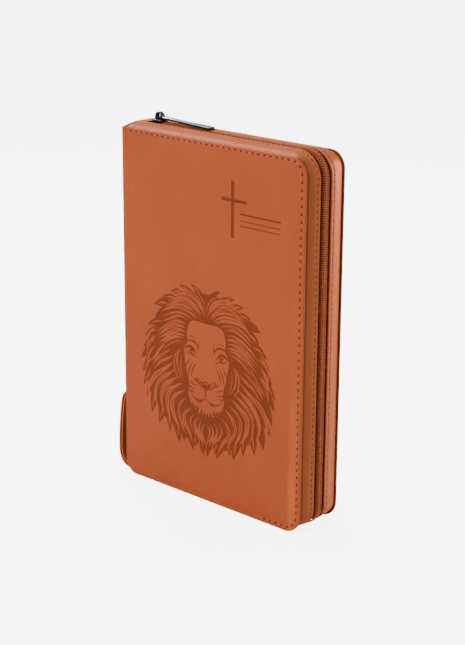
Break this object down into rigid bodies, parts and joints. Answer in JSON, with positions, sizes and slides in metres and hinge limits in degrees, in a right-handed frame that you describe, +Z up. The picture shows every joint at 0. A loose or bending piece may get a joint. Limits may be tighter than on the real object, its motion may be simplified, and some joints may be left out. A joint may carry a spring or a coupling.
{
  "type": "zip-closed bible",
  "caption": "Bible in a soft leather-look case that zips shut round head, fore-edge and tail, with a plain cross and a lion's head pressed into the front cover.",
  "frame": {"origin": "centre of the object's box, on the surface that its tail edge stands on", "axes": "+X from the spine to the fore-edge, +Y out of the back cover, +Z up from tail to head"},
  "size_m": [0.1542, 0.0348, 0.2284],
  "materials": {
    "leather": "satin, fine grain",
    "board": "matt grey board",
    "lining": "matt embossed lining",
    "zip_tape": "woven",
    "zip_coil": "smooth nylon coil",
    "flyleaf": "matt",
    "pages": "thin leaves in a block",
    "mull": "open weave",
    "headband": "two-colour cord",
    "ribbon": "satin",
    "gunmetal": "polished dark plating",
    "nickel": "polished dark nickel"
  },
  "bodies": {
    "back_cover": {"back_leather": "leather", "back_board": "board", "back_lining": "lining", "back_gusset": "leather", "back_zip_tape": "zip_tape", "back_zip_coil": "zip_coil", "back_top_stop": "gunmetal", "back_endpaper": "flyleaf", "back_pages": "pages"},
    "spine": {"spine_leather": "leather", "spine_stiffener": "board", "spine_lining": "lining", "mull": "mull", "page_backbone": "pages", "headband_head": "headband", "headband_tail": "headband", "gusset_end_head": "leather", "gusset_end_tail": "leather", "tail_tab_leather": "leather", "tail_tab_zip_end": "zip_tape"},
    "front_cover": {"front_leather": "leather", "front_board": "board", "front_lining": "lining", "front_gusset": "leather", "front_zip_tape": "zip_tape", "front_zip_coil": "zip_coil", "front_top_stop": "gunmetal", "front_endpaper": "flyleaf", "front_pages": "pages"},
    "leaves_1": {"middle_leaves_1": "pages"},
    "leaves_2": {"middle_leaves_2": "pages", "ribbon_marker": "ribbon"},
    "leaves_3": {"middle_leaves_3": "pages"},
    "slider": {"slider_body": "gunmetal", "slider_crown": "gunmetal"},
    "pull": {"slider_pull": "nickel"}
  },
  "joints": [
    {"name": "spine_hinge", "type": "hinge", "parent": "back_cover", "child": "spine", "pos_m": [-0.06687, 0.0174, 0.11], "axis": [0, 0, -1], "range_deg": [0, 90]},
    {"name": "front_cover_hinge", "type": "hinge", "parent": "spine", "child": "front_cover", "pos_m": [-0.06687, -0.0174, 0.11], "axis": [0, 0, -1], "range_deg": [0, 90]},
    {"name": "leaves_1_turn", "type": "hinge", "parent": "spine", "child": "leaves_1", "pos_m": [-0.05767, -0.00062, 0.11], "axis": [0, 0, -1], "range_deg": [0, 55.8]},
    {"name": "leaves_2_turn", "type": "hinge", "parent": "spine", "child": "leaves_2", "pos_m": [-0.05767, -0.00012, 0.11], "axis": [0, 0, -1], "range_deg": [0, 12.6]},
    {"name": "leaves_3_turn", "type": "hinge", "parent": "spine", "child": "leaves_3", "pos_m": [-0.05767, 0.0005, 0.11], "axis": [0, 0, 1], "range_deg": [0, 37.8]},
    {"name": "zip_slide", "type": "slide", "parent": "back_cover", "child": "slider", "axis": [1, 0, 0], "range_m": [0, 0.1]},
    {"name": "pull_flip", "type": "hinge", "parent": "slider", "child": "pull", "pos_m": [-0.05247, 0, 0.2253], "axis": [0, -1, 0], "range_deg": [0, 180]}
  ],
  "couplings": [
    {"joint": "front_cover_hinge", "follows": "spine_hinge", "ratio": 1},
    {"joint": "leaves_1_turn", "follows": "spine_hinge", "ratio": 0.62},
    {"joint": "leaves_2_turn", "follows": "spine_hinge", "ratio": 0.14},
    {"joint": "leaves_3_turn", "follows": "spine_hinge", "ratio": 0.42}
  ]
}
